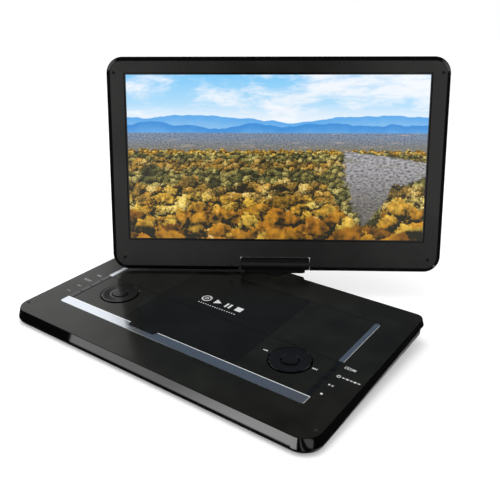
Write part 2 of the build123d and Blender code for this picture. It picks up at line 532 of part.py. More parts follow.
# ---- swivel ----
def swivel_bracket():
    """Steel plate screwed inside the base; the swivel shaft turns in it."""
    z1 = CASE_TOP - 0.5
    z0 = z1 - BRACKET_T
    plate = block(-36.0, 36.0, 96.0, 107.0, z0, z1)
    plate += block(-BRACKET_NECK, BRACKET_NECK, 100.0, HINGE_Y, z0, z1)
    plate += post(9.0, z0, z1, y=HINGE_Y)
    return plate - post(SHAFT_R + RUN_GAP, z1 - 3, z1 + 3, y=HINGE_Y)


def hinge_barrel():
    """Barrel, saddle and turntable in one moulding, in the hub frame."""
    barrel = rod_x(BARREL_R, -BARREL_L / 2, BARREL_L / 2, 0, 0)
    barrel = fillet(barrel.edges().filter_by(GeomType.CIRCLE), BARREL_ROUND)
    seat = TURNTABLE_Z - HINGE_Z
    saddle = slab(74.0, 12.0, 4.0, seat, -BARREL_R / 2)
    body = barrel + saddle + post(TURNTABLE_R, seat, seat + TURNTABLE_T)
    for s in (-1, 1):
        body -= rod_x(SLEEVE_R, *sorted((s * (PIN_IN - 2), s * (BARREL_L / 2 - 1.5))), 0, 0)
        body -= rod_x(TILT_PIN_R + 0.3, *sorted((s * 30, s * (BARREL_L / 2 + 1))), 0, 0)
    body -= rod_x(SHAFT_BORE_R, -PIN_IN, PIN_IN, 0, 0)
    return body - post(SHAFT_BORE_R, seat - 1, 0)


def friction_sleeves():
    sleeve = rod_x(SLEEVE_R, PIN_IN - 2, BARREL_L / 2 - 1.5, 0, 0)
    return both_sides(sleeve - rod_x(TILT_PIN_R + RUN_GAP, 0, BARREL_L, 0, 0))


def swivel_shaft():
    top = TURNTABLE_Z - HINGE_Z
    return post(SHAFT_R, top - SHAFT_LENGTH, top) - post(SHAFT_BORE_R, top - SHAFT_LENGTH - 1, top + 1)


def shaft_washers():
    """Two friction washers and a retaining nut under the bracket."""
    z = CASE_TOP - 2.2 - HINGE_Z
    rings = []
    for radius, thick in ((8.6, 0.8), (9.4, 0.8), (8.8, 2.4)):
        rings.append(post(radius, z - thick, z) - post(SHAFT_R, z - thick - 1, z + 1))
        z -= thick + 0.05
    return rings


# ---- lid ----
def lid_slab(width, low, high, radius, n0, n1, taper=0.0):
    """A rounded panel in the lid frame, from n0 to n1 towards the viewer, narrowing that way by taper."""
    sketch = RectangleRounded(width, high - low, radius)
    solid = extrude(sketch, n1 - n0, taper=taper)
    return Pos(0, -n0, (low + high) / 2) * Rot(90, 0, 0) * solid


def lid_block(u0, u1, n0, n1, v0, v1):
    return block(u0, u1, -n1, -n0, v0, v1)


def lid_post(radius, u, v, n0, n1):
    return rod_y(radius, -n1, -n0, u, v)


def notch_cut():
    """Room for the hinge barrel in the lid's lower edge."""
    return lid_block(-NOTCH_HALF, NOTCH_HALF, LID_BACK - 5, LID_FRONT + 5, LID_LOW - 5, NOTCH_TOP)


def lid_back_cover():
    cover = lid_slab(LID_W, LID_LOW, LID_HIGH, LID_R, LID_BACK, LID_SPLIT)
    back_edges = cover.edges().group_by(Axis.Y)[-1]
    cover = fillet(back_edges, 3.0)
    cover -= lid_slab(LID_W - 2 * LID_WALL, LID_LOW + LID_WALL, LID_HIGH - LID_WALL, LID_R - LID_WALL,
                      LID_BACK + LID_WALL, LID_SPLIT + 1)
    for s in (-1, 1):
        u0, u1 = sorted((s * NOTCH_HALF, s * (NOTCH_HALF + LID_WALL)))
        cover += lid_block(u0, u1, LID_BACK + 0.5, LID_SPLIT, LID_LOW + 0.5, NOTCH_TOP)
    ends = NOTCH_HALF + LID_WALL
    cover += lid_block(-ends, ends, LID_BACK + 0.5, LID_SPLIT, NOTCH_TOP, NOTCH_TOP + LID_WALL)
    cover -= notch_cut()
    cover -= rod_x(TILT_PIN_R + 0.4, -PIN_OUT, PIN_OUT, 0, 0)
    for u, v in LID_SCREWS:
        cover += lid_post(2.6, u, v, LID_BACK + LID_WALL, LID_SPLIT)
        cover -= lid_post(0.9, u, v, LID_BACK + LID_WALL + 1, LID_SPLIT + 1)
    return cover


def bezel_shell():
    """The bezel's slanted frame, hollow behind."""
    start = LID_SPLIT + BEZEL_EDGE
    slant = degrees(atan(BEZEL_SLANT / (LID_FRONT - start)))
    bezel = lid_slab(LID_W, LID_LOW, LID_HIGH, LID_R, start, LID_FRONT, taper=slant)
    bezel = fillet(bezel.edges().group_by(Axis.Y)[0], BEZEL_ROUND)
    bezel += lid_slab(LID_W, LID_LOW, LID_HIGH, LID_R, LID_SPLIT + LID_SEAM, start)
    inset = LID_WALL + BEZEL_SLANT
    return bezel - lid_slab(LID_W - 2 * inset, LID_LOW + inset, LID_HIGH - inset, LID_R - inset,
                            LID_SPLIT - 1, LID_FRONT - LID_WALL)


def lid_front_bezel():
    bezel = bezel_shell()
    ends = NOTCH_HALF + LID_WALL
    bezel += lid_block(-ends, ends, LID_SPLIT + LID_SEAM, LID_FRONT - 1, LID_LOW + 0.5, NOTCH_TOP + LID_WALL)
    bezel -= notch_cut()
    for u, v in LID_SCREWS:
        bezel += lid_post(4.0, u, v, LID_SPLIT + LID_SEAM, LID_FRONT - 1)
    for u, v in LID_STOPS:
        bezel += lid_post(3.4, u, v, LID_FRONT - SCREW_WELL_DEPTH - 1, LID_FRONT - 1.5)
    low, high = VIEW_MID - VIEW_H / 2, VIEW_MID + VIEW_H / 2
    bezel -= lid_slab(VIEW_W, low, high, 0.8, LID_SPLIT - 1, LID_FRONT + 1)
    front_edges = bezel.edges().group_by(Axis.Y)[0]
    centred = [edge for edge in front_edges if abs(edge.center().X) < VIEW_W / 2 + 1]
    window_edges = [edge for edge in centred if low - 1 < edge.center().Z < high + 1]
    bezel = chamfer(window_edges, WINDOW_BEVEL)
    bezel -= rod_x(TILT_PIN_R + 0.4, -PIN_OUT, PIN_OUT, 0, 0)
    for u, v in LID_SCREWS + LID_STOPS:
        bezel -= lid_post(SCREW_WELL_R, u, v, LID_FRONT - SCREW_WELL_DEPTH, LID_FRONT + 1)
    for u, v in LID_SCREWS:
        bezel -= lid_post(1.3, u, v, LID_SPLIT - 1, LID_FRONT)
    return bezel


def bezel_screws():
    """Recessed cross-head screws that hold the bezel to the back cover."""
    seat, top = LID_FRONT - SCREW_WELL_DEPTH, LID_FRONT - 2.0
    screws = []
    for u, v in LID_SCREWS:
        screw = lid_post(1.9, u, v, seat, top) + lid_post(0.9, u, v, LID_BACK + LID_WALL + 1.2, seat)
        cross = Box(2.4, 0.8, 0.5) + Box(0.5, 0.8, 2.4)
        screws.append(screw - Pos(u, -top, v) * cross)
    return screws


def lid_bumpers():
    """Small rubber stops in the two wells beside the hinge."""
    seat = LID_FRONT - SCREW_WELL_DEPTH + 0.1
    return [lid_post(SCREW_WELL_R - 0.1, u, v, seat, LID_FRONT - 0.3) for u, v in LID_STOPS]


def behind_window(grow_w, grow_h, n0, n1):
    low, high = VIEW_MID - VIEW_H / 2 - grow_h, VIEW_MID + VIEW_H / 2 + grow_h
    return lid_slab(VIEW_W + 2 * grow_w, low, high, 0.5, n0, n1)


def display_panel():
    return behind_window(2.5, 2.5, PANEL_N0, PANEL_N1)


def backlight_unit():
    return behind_window(3.5, 3.5, BACKLIGHT_N0, BACKLIGHT_N1)


def driver_board():
    board = lid_block(-150.0, -70.0, 0.0, 1.2, 12.0, 27.0)
    return board + lid_block(-120.0, -108.0, -1.1, 0.0, 16.0, 23.0)


def lid_hinge_brackets():
    """Steel leaves that hold the tilt pins, screwed inside the back cover."""
    leaf = lid_block(50.0, 62.0, LID_BACK + LID_WALL + 0.1, -TILT_PIN_R + 0.6, -1.9, 24.0)
    leaf += lid_block(50.0, 62.0, -TILT_PIN_R + 0.6, TILT_PIN_R - 0.3, -1.9, 3.2)
    return both_sides(leaf - rod_x(TILT_PIN_R, 40, 70, 0, 0))


def tilt_pins():
    return both_sides(rod_x(TILT_PIN_R, PIN_IN, PIN_OUT - 0.5, 0, 0))


def display_cable():
    """Bundle that comes up through the hollow shaft and turns along the barrel."""
    low = TURNTABLE_Z - HINGE_Z - SHAFT_LENGTH + 1
    return post(1.6, low, 0) + rod_x(1.6, 0, PIN_IN - 4, 0, 0) + Sphere(1.6)


def placed(shape, place):
    """The solids of a shape, or of a group of shapes that share a node, carried out of their local frame."""
    solids = []
    for piece in shape if isinstance(shape, list) else [shape]:
        solids += list((place * piece).solids())
    return solids


DECK_PIECES = [
    base_top_cover, base_bottom_case, rubber_feet, deck_bumpers, case_screws, front_trim_strip,
    side_trim_strips, key_boards, open_button, door_latch, latch_spring, disc_door, door_hinge_pins,
    disc_well, spindle_motor, spindle_hub, drive_chassis, guide_rails, pickup_sled, objective_lens,
    sled_motor, lead_screw, main_board, battery_pack, audio_jacks, dc_jack, usb_socket, card_slot,
    power_switch, switch_body, speakers, swivel_bracket,
]
HUB_PIECES = [hinge_barrel, friction_sleeves, swivel_shaft, shaft_washers, display_cable]
LID_PIECES = [
    lid_back_cover, lid_front_bezel, bezel_screws, lid_bumpers, display_panel, backlight_unit, driver_board,
    lid_hinge_brackets, tilt_pins,
]


def main():
    nodes = {}
    for pieces, place in ((DECK_PIECES, DECK_TO_ROW), (HUB_PIECES, HUB_TO_ROW), (LID_PIECES, LID_TO_ROW)):
        for piece in pieces:
            nodes[piece.__name__] = placed(piece(), place)
    for side, word in ((-1, "left"), (1, "right")):
        for index in range(KEY_COUNT):
            nodes[f"{word}_key_{index + 1}"] = placed(function_key(side, index), DECK_TO_ROW)
        pad = DECK_TO_ROW * Pos(side * PAD_X, PAD_Y, 0)
        for piece in (nav_ring, rocker_pivot, ok_button):
            nodes[f"{word}_{piece.__name__}"] = placed(piece(), pad)
    boxes = [solid.bounding_box() for solids in nodes.values() for solid in solids]
    middle_x = (min(box.min.X for box in boxes) + max(box.max.X for box in boxes)) / 2
    middle_y = (min(box.min.Y for box in boxes) + max(box.max.Y for box in boxes)) / 2
    centred = Pos(-middle_x, -middle_y, 0)
    os.makedirs("parts", exist_ok=True)
    for name, solids in nodes.items():
        export_step(Compound(children=[centred * solid for solid in solids]), f"parts/{name}.step")
    print("the origin is under this deck place:", round(middle_x, 4), round(middle_y, 4))


main()
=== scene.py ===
"""Looks, lights and camera for the portable disc player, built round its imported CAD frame.

Lengths are in metres unless a comment says millimetres.
"""

import json
import math

import bmesh
import bpy
from mathutils import Matrix, Vector


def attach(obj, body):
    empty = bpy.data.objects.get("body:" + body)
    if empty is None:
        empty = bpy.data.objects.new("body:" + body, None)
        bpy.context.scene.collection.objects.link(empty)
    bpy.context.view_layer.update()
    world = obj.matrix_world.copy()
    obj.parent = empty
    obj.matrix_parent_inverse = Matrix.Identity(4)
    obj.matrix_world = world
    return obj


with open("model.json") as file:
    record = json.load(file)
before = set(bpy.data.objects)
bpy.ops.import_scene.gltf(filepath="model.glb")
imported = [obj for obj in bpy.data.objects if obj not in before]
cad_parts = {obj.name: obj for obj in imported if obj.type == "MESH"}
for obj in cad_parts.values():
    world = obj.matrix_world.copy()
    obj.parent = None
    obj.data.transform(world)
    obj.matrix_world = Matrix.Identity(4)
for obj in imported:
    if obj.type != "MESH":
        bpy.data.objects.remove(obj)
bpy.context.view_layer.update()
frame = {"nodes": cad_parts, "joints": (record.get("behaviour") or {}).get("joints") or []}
MM = 0.001

# Driving values of the design, as the CAD states them: the hinge point, and the screen's lean.
HINGE_BEHIND_DECK_CENTRE, HINGE_OVER_DECK = 118.0 * MM, 10.5 * MM
TILT_BACK = math.radians(13.9)
PICTURE_WIDTH, PICTURE_HEIGHT, PICTURE_MIDDLE, PANEL_FACE = 351.2, 192.0, 127.7, 6.1  # mm, in the lid frame
PAD_X, PAD_Y = 116.0, -31.5  # mm, deck frame
TRIM_EDGE_Y = -69.5  # mm, deck frame: the rear edge of the front trim, along which a bright highlight is painted

joints = {joint["name"]: joint for joint in frame["joints"]}
hub = Vector(joints["screen_swivel"]["pos_m"])
deck_up = Vector(joints["screen_swivel"]["axis"]).normalized()
deck_x = Vector((1, 0, 0))
deck_y = deck_up.cross(deck_x)
lid_x = Vector(joints["screen_tilt"]["axis"]).normalized()
hub_back = deck_up.cross(lid_x)
lid_up = deck_up * math.cos(TILT_BACK) + hub_back * math.sin(TILT_BACK)
lid_back = hub_back * math.cos(TILT_BACK) - deck_up * math.sin(TILT_BACK)


def frame_matrix(x, y, z, origin):
    return Matrix.Translation(origin) @ Matrix((x, y, z)).transposed().to_4x4()


deck_origin = hub - deck_y * HINGE_BEHIND_DECK_CENTRE - deck_up * HINGE_OVER_DECK
deck_frame = frame_matrix(deck_x, deck_y, deck_up, deck_origin)
lid_frame = frame_matrix(lid_x, lid_back, lid_up, hub)


# ---- shader building ----
def colour(code):
    """Linear colour of a hex code."""
    parts = [int(code[i:i + 2], 16) / 255 for i in (1, 3, 5)]
    return tuple(p / 12.92 if p <= 0.04045 else ((p + 0.055) / 1.055) ** 2.4 for p in parts) + (1.0,)


class Shader:
    """A material's node tree with short helpers. Values may be numbers, colours or sockets."""

    def __init__(self, name):
        self.material = bpy.data.materials.new(name)
        self.material.use_nodes = True
        self.tree = self.material.node_tree
        self.bsdf = self.tree.nodes["Principled BSDF"]
        self.coords = self.node("TexCoord").outputs

    def put(self, socket, value):
        if isinstance(value, bpy.types.NodeSocket):
            self.tree.links.new(value, socket)
        else:
            socket.default_value = value

    def node(self, kind, inputs=None, **settings):
        made = self.tree.nodes.new("ShaderNode" + kind)
        for key, value in settings.items():
            setattr(made, key, value)
        for key, value in (inputs or {}).items():
            self.put(made.inputs[key], value)
        return made

    def math(self, operation, a, b=0.0, clamp=False):
        return self.node("Math", {0: a, 1: b}, operation=operation, use_clamp=clamp).outputs[0]

    def add(self, a, b):
        return self.math("ADD", a, b)

    def mul(self, a, b):
        return self.math("MULTIPLY", a, b)

    def sub(self, a, b):
        return self.math("SUBTRACT", a, b)

    def every(self, *masks):
        """1 only where every one of the masks is 1."""
        whole = masks[0]
        for mask in masks[1:]:
            whole = self.mul(whole, mask)
        return whole

    def dot(self, vector, direction):
        if not isinstance(direction, bpy.types.NodeSocket):
            direction = tuple(direction)
        return self.node("VectorMath", {0: vector, 1: direction}, operation="DOT_PRODUCT").outputs["Value"]

    def smooth(self, value, low, high, to_low=0.0, to_high=1.0):
        inputs = {0: value, 1: low, 2: high, 3: to_low, 4: to_high}
        return self.node("MapRange", inputs, interpolation_type="SMOOTHSTEP").outputs[0]

    def mix(self, factor, a, b, blend="MIX"):
        made = self.node("Mix", {0: factor, 6: a, 7: b}, data_type="RGBA", blend_type=blend)
        return made.outputs[2]

    def ramp(self, factor, *stops):
        made = self.node("ValToRGB", {0: factor})
        elements = made.color_ramp.elements
        while len(elements) < len(stops):
            elements.new(0.5)
        for element, (place, tone) in zip(elements, stops):
            element.position = place
            element.color = tone if isinstance(tone, tuple) else (tone, tone, tone, 1.0)
        return made.outputs[0]

    def scaled(self, vector, scale):
        scale = scale if isinstance(scale, tuple) else (scale,) * 3
        return self.node("Mapping", {0: vector, 3: scale}).outputs[0]

    def noise(self, scale, detail=3.0, roughness=0.5, vector=None, distortion=0.0):
        vector = self.scaled(vector or self.coords["Object"], scale)
        inputs = {"Vector": vector, "Scale": 1.0, "Detail": detail, "Roughness": roughness,
                  "Distortion": distortion}
        return self.node("TexNoise", inputs).outputs[0]

    def cells(self, scale, vector=None, feature="F1", randomness=1.0):
        vector = self.scaled(vector or self.coords["Object"], scale)
        inputs = {"Vector": vector, "Scale": 1.0, "Randomness": randomness}
        return self.node("TexVoronoi", inputs, feature=feature).outputs

    def facing(self, direction):
        """1 where the surface faces a direction of the row frame, at rest and in every pose."""
        return self.dot(self.coords["Normal"], direction)

    def along(self, direction, origin=(0, 0, 0)):
        """Distance along a direction of the row frame, in metres."""
        inputs = {0: self.coords["Object"], 1: tuple(origin)}
        return self.dot(self.node("VectorMath", inputs, operation="SUBTRACT").outputs[0], direction)

    def edges(self, radius):
        """1 on a band either side of sharp edges, 0 elsewhere."""
        rounded = self.node("Bevel", {"Radius": radius}, samples=4).outputs[0]
        true = self.node("NewGeometry").outputs["Normal"]
        return self.smooth(self.dot(rounded, true), 0.995, 0.9)

    def bump(self, height, depth, normal=None):
        inputs = {"Height": height, "Distance": depth, "Strength": 1.0}
        if normal is not None:
            inputs["Normal"] = normal
        return self.node("Bump", inputs).outputs[0]

    def glow_in_mirrors(self, strength, tint=(1.0, 1.0, 1.0, 1.0)):
        """Adds a dim even light that only polished faces nearby pick up."""
        mirrored = self.node("LightPath").outputs["Is Glossy Ray"]
        self.put(self.bsdf.inputs["Emission Color"], tint)
        self.put(self.bsdf.inputs["Emission Strength"], self.mul(mirrored, strength))
        self.material.cycles.emission_sampling = "NONE"

    def finish(self, **inputs):
        for key, value in inputs.items():
            self.put(self.bsdf.inputs[key.replace("_", " ")], value)
        return self.material


def smudges(sh, low, high, scale=14.0):
    """Roughness that wanders between two values, as on a handled gloss surface, with fine dust."""
    broad = sh.ramp(sh.noise(scale, 5.0, 0.6, distortion=0.6), (0.35, low), (0.75, high))
    dust = sh.ramp(sh.noise(2600.0, 1.0), (0.72, 0.0), (0.8, high))
    return sh.math("MAXIMUM", broad, dust)


# ---- materials ----
def moulded_shell(name, facing, tone, flat_roughness, edge_roughness=0.05, grain=1.0, ior=1.46,
                  mirror_glow=0.0):
    """Black moulding: a satin, finely grained flat face, with gloss edges and sides."""
    sh = Shader(name)
    flat = sh.smooth(sh.facing(facing), 0.975, 0.997)
    base = sh.mix(sh.mul(flat, sh.noise(30.0, 4.0, 0.5)), colour("#030303"), colour(tone))
    rough = sh.mix(flat, smudges(sh, edge_roughness, edge_roughness + 0.05),
                   smudges(sh, flat_roughness - 0.03, flat_roughness + 0.04))
    pebbles = sh.mul(sh.noise(5200.0, 2.0), flat)
    worn = sh.mul(sh.edges(0.25 * MM), sh.ramp(sh.noise(420.0, 2.0), (0.5, 0.0), (0.75, 0.3)))
    sh.glow_in_mirrors(mirror_glow)
    return sh.finish(Base_Color=sh.mix(worn, base, colour("#303032")), Roughness=rough, IOR=ior,
                     Normal=sh.bump(pebbles, 0.004 * MM * grain))


def gloss_plastic(name, tone="#060607", roughness=0.05):
    """Piano-black plastic with faint swirl marks and dust."""
    sh = Shader(name)
    swirl = sh.noise((900.0, 40.0, 300.0), 2.0, distortion=2.0)
    base = sh.mix(sh.noise(60.0), colour(tone), colour("#101012"))
    return sh.finish(Base_Color=base, Roughness=smudges(sh, roughness, roughness + 0.07, 40.0), IOR=1.5,
                     Normal=sh.bump(swirl, 0.0006 * MM))


def textured_plastic(name, tone, grain_mm=0.35, depth_mm=0.02, roughness=0.5):
    """Spark-eroded moulding grain over a slightly mottled colour."""
    sh = Shader(name)
    cell = sh.cells(1.0 / (grain_mm * MM))["Distance"]
    grain = sh.add(sh.mul(cell, 0.6), sh.mul(sh.noise(2.2 / (grain_mm * MM), 2.0), 0.5))
    light = tuple(min(1.0, part * 1.6 + 0.004) for part in colour(tone)[:3]) + (1.0,)
    base = sh.mix(sh.noise(45.0, 4.0), colour(tone), light)
    rough = sh.ramp(sh.noise(120.0, 3.0), (0.3, roughness - 0.07), (0.7, roughness + 0.08))
    return sh.finish(Base_Color=base, Roughness=rough, Normal=sh.bump(grain, depth_mm * MM))


def soft_rubber(name, tone="#0d0d0d"):
    sh = Shader(name)
    speckle = sh.ramp(sh.noise(1500.0, 2.0), (0.55, 0.0), (0.75, 0.35))
    base = sh.mix(speckle, colour(tone), colour("#2b2a28"))
    dull = sh.ramp(sh.noise(200.0), (0.3, 0.62), (0.7, 0.8))
    return sh.finish(Base_Color=base, Roughness=dull, Sheen_Weight=0.25,
                     Normal=sh.bump(sh.noise(2600.0, 3.0), 0.02 * MM))


def plated_silver(name, grain_scale):
    """Blue-grey satin plating: a faint grain, a painted highlight along the rear edge, and lighter, rougher edges.
    """
    sh = Shader(name)
    grain = sh.noise(grain_scale, 3.0, 0.6)
    tone = sh.mix(grain, colour("#cfd8e2"), colour("#eef2f6"))
    # every edge is made a little lighter and rougher
    lighter_edges = sh.mul(sh.edges(0.3 * MM), 0.35)
    deck_centre = deck_frame.translation
    # painted highlight: a narrow band along the rear edge is coloured near-white and not metallic, standing for
    # the light that edge catches
    painted_highlight = sh.mul(sh.smooth(sh.along(deck_y, deck_centre), (TRIM_EDGE_Y - 0.2) * MM, TRIM_EDGE_Y * MM),
                    sh.smooth(sh.along(deck_y, deck_centre),
                              (TRIM_EDGE_Y + 2.0) * MM, (TRIM_EDGE_Y + 1.5) * MM))
    rough = sh.add(sh.ramp(grain, (0.35, 0.12), (0.7, 0.19)), sh.mul(lighter_edges, 0.15))
    return sh.finish(Base_Color=sh.mix(sh.math("MAXIMUM", lighter_edges, painted_highlight), tone, colour("#fbfcfd")),
                     Metallic=sh.sub(1.0, painted_highlight), Roughness=rough, Normal=sh.bump(grain, 0.0012 * MM))


def brushed_metal(name, tone, scale=(60.0, 2400.0, 2400.0), roughness=0.32):
    sh = Shader(name)
    grain = sh.noise(scale, 3.0, 0.6)
    dark = tuple(part * 0.7 for part in colour(tone)[:3]) + (1.0,)
    base = sh.mix(sh.noise(70.0, 4.0), dark, colour(tone))
    brushed = sh.ramp(grain, (0.3, roughness - 0.08), (0.7, roughness + 0.1))
    return sh.finish(Base_Color=base, Metallic=1.0, Roughness=brushed,
                     Anisotropic=0.4, Normal=sh.bump(grain, 0.003 * MM))


def circuit_board(name):
    """Green mask with tracks and tinned pads."""
    sh = Shader(name)
    white, black = (1, 1, 1, 1), (0, 0, 0, 1)
    inputs = {"Vector": sh.scaled(sh.coords["Object"], 240.0), "Scale": 1.0, "Mortar Size": 0.05,
              "Color1": white, "Color2": white, "Mortar": black}
    track = sh.node("TexBrick", inputs).outputs[0]
    pads = sh.ramp(sh.cells(320.0, randomness=0.55)["Distance"], (0.16, 1.0), (0.2, 0.0))
    green = sh.mix(track, colour("#2c7a48"), colour("#12401f"))
    tinned = sh.mix(pads, green, colour("#c9c6bd"))
    return sh.finish(Base_Color=tinned, Metallic=sh.mul(pads, 0.9), Roughness=0.35,
                     Normal=sh.bump(sh.add(track, pads), 0.02 * MM))


def shrink_wrap(name):
    """Blue film stretched over cells, with faint pull lines."""
    sh = Shader(name)
    wrinkle = sh.noise((40.0, 260.0, 260.0), 4.0, 0.6, distortion=0.8)
    blue = sh.mix(sh.noise(25.0), colour("#143a6e"), colour("#1d4f92"))
    return sh.finish(Base_Color=blue, Roughness=0.28,
                     Coat_Weight=0.4, Normal=sh.bump(wrinkle, 0.08 * MM))


def coated_lens(name):
    sh = Shader(name)
    tint = sh.node("LayerWeight", {"Blend": 0.35}).outputs["Facing"]
    ring = sh.noise(900.0, 1.0)
    base = sh.mix(sh.add(tint, sh.mul(ring, 0.08)), colour("#1c2c66"), colour("#5b2f86"))
    return sh.finish(Base_Color=base, Roughness=0.03, IOR=1.6, Coat_Weight=1.0, Coat_Roughness=0.01)


def paper_cone(name):
    """Speaker driver: ribbed paper and a pressed frame."""
    sh = Shader(name)
    fibres = sh.noise((700.0, 1800.0, 900.0), 4.0, 0.7)
    return sh.finish(Base_Color=sh.mix(fibres, colour("#151515"), colour("#2d2b29")), Roughness=0.85,
                     Normal=sh.bump(fibres, 0.05 * MM))


def screw_thread(name, tone, pitch_mm):
    """Turned rod with its thread as shading; the rod runs along X."""
    sh = Shader(name)
    turns = sh.mul(sh.along(deck_x), 2 * math.pi / (pitch_mm * MM))
    round_it = sh.math("ARCTAN2", sh.along(deck_up, hub), sh.along(deck_y, hub))
    wave = sh.math("SINE", sh.add(turns, round_it))
    brass = sh.mix(sh.noise(300.0), colour(tone), colour("#8f7431"))
    return sh.finish(Base_Color=brass, Metallic=1.0, Roughness=0.25,
                     Normal=sh.bump(wave, 0.2 * MM))


def braided_cable(name):
    sh = Shader(name)
    inputs = {"Vector": sh.scaled(sh.coords["Object"], 900.0), "Scale": 1.0, "Distortion": 1.0}
    weave = sh.node("TexWave", inputs,
                    bands_direction="DIAGONAL").outputs[0]
    cross = sh.mul(weave, sh.noise(1200.0))
    return sh.finish(Base_Color=sh.mix(cross, colour("#0a0a0a"), colour("#2a2a2c")), Roughness=0.6,
                     Normal=sh.bump(cross, 0.1 * MM))


def panel_glass(name):
    """The display's black border under an anti-glare film."""
    sh = Shader(name)
    return sh.finish(Base_Color=sh.mix(sh.noise(50.0), colour("#030304"), colour("#07070a")),
                     Roughness=smudges(sh, 0.12, 0.2), Normal=sh.bump(sh.noise(9000.0, 1.0), 0.002 * MM))


def print_ink(name, dark, light):
    """Pad-printed ink, slightly uneven."""
    sh = Shader(name)
    tone = sh.mix(sh.noise(1400.0, 3.0), colour(dark), colour(light))
    return sh.finish(Base_Color=tone, Roughness=0.55, Normal=sh.bump(sh.noise(3000.0), 0.005 * MM))


# ---- the picture on the display ----
def hummocks(sh, across, base, rise, per_width, seed):
    """Height of a line of round clumps over a base height, and a random number for each clump."""
    clump = sh.node("TexVoronoi", {"W": sh.add(sh.mul(across, per_width), seed), "Scale": 1.0},
                    voronoi_dimensions="1D").outputs
    dome = sh.sub(1.0, sh.math("POWER", sh.mul(clump["Distance"], 1.7), 2.0))
    chance = sh.node("SeparateColor", {0: clump["Color"]}).outputs
    size = sh.add(sh.mul(chance[0], 0.7), 0.35)
    return sh.add(sh.mul(sh.mul(sh.math("MAXIMUM", dome, 0.0), size), rise), base), chance[1]


def bush_layer(sh, under, across, up, plane, base, rise, per_width, seed, palette, clump, blur=0.0):
    """Paints a band of shrubs over what is under it: many lit clumps below a ragged crest."""
    crest, pick = hummocks(sh, across, base, rise, per_width, seed)
    coarse = sh.sub(sh.noise(clump * 0.5, 3.0, 0.6, plane), 0.5)
    fine = sh.sub(sh.noise(clump * 3.4, 3.0, 0.7, plane), 0.5)
    crest = sh.add(crest, sh.add(sh.mul(coarse, rise * 1.2), sh.mul(fine, rise * (1.2 - blur))))
    below = sh.sub(crest, up)
    spread = sh.scaled(plane, clump)
    push = sh.node("CombineXYZ", {0: sh.mul(fine, 1.4), 1: sh.mul(coarse, 1.6)}).outputs[0]
    bent = sh.node("VectorMath", {0: spread, 1: push},
                   operation="ADD").outputs[0]
    cell = sh.node("TexVoronoi", {"Vector": bent, "Scale": 1.0}, voronoi_dimensions="2D").outputs
    offset = sh.node("VectorMath", {0: bent, 1: cell["Position"]}, operation="SUBTRACT").outputs[0]
    local = sh.node("SeparateXYZ", {0: offset}).outputs
    chance = sh.node("SeparateColor", {0: cell["Color"]}).outputs
    blades = sh.sub(sh.noise(clump * (4.2 - 1.6 * blur), 3.0, 0.75 - 0.25 * blur, plane), 0.5)
    facing_sun = sh.add(sh.mul(local[1], 0.9), sh.mul(local[0], -0.35))
    lit = sh.add(0.62, sh.sub(facing_sun, sh.mul(cell["Distance"], 0.55)))
    lit = sh.add(sh.add(lit, sh.mul(blades, 3.4 - 1.6 * blur)), sh.mul(coarse, 1.0))
    tone = sh.add(sh.add(sh.mul(chance[0], 0.75), sh.mul(coarse, 1.4)), sh.mul(pick, 0.22))
    painted = sh.mix(sh.math("MAXIMUM", lit, 0.0, clamp=True), colour("#1f1e0e"), sh.ramp(tone, *palette))
    glints = sh.smooth(sh.add(sh.mul(lit, 0.5), blades), 0.62, 0.9, 0.0, 0.75)
    painted = sh.mix(glints, painted, colour("#f7e7a6"))
    return sh.mix(sh.smooth(below, 0.0, 0.004 + 0.016 * blur), under, painted)


def gravel_path(sh, under, across, up, plane):
    """A gravel track that comes from the right, turns at the middle distance and runs down to the viewer."""
    stones = sh.noise((46.0, 90.0, 1.0), 4.0, 0.8, plane)
    tone = sh.mix(sh.smooth(up, 0.15, 0.5), colour("#77736d"), colour("#b4b2b6"))
    tone = sh.mix(sh.smooth(stones, 0.42, 0.62, 0.0, 0.85), tone, colour("#3f3e3d"))
    tone = sh.mix(sh.smooth(stones, 0.4, 0.28, 0.0, 0.8), tone, colour("#d2cfca"))
    ruts = sh.smooth(sh.noise((3.0, 22.0, 1.0), 4.0, 0.6, plane, 1.2), 0.5, 0.66, 0.0, 0.6)
    tone = sh.mix(ruts, tone, colour("#85806f"))
    wander = sh.add(sh.mul(sh.sub(sh.noise(8.0, 3.0, 0.6, plane), 0.5), 0.05),
                    sh.mul(sh.sub(sh.noise(46.0, 3.0, 0.8, plane), 0.5), 0.075))
    place = sh.add(across, wander)
    left = sh.ramp(up, (0.0, 0.80), (0.14, 0.775), (0.3, 0.735), (0.56, 0.715))
    right = sh.ramp(up, (0.08, 0.80), (0.2, 0.865), (0.32, 0.915), (0.47, 1.1))
    top = sh.add(sh.add(up, sh.mul(across, 0.26)), sh.mul(wander, 0.3))
    inside = sh.mul(sh.smooth(sh.sub(place, left), 0.0, 0.012), sh.smooth(sh.sub(right, place), 0.0, 0.012))
    inside = sh.mul(inside, sh.smooth(top, 0.744, 0.736))
    return sh.mix(inside, under, tone)


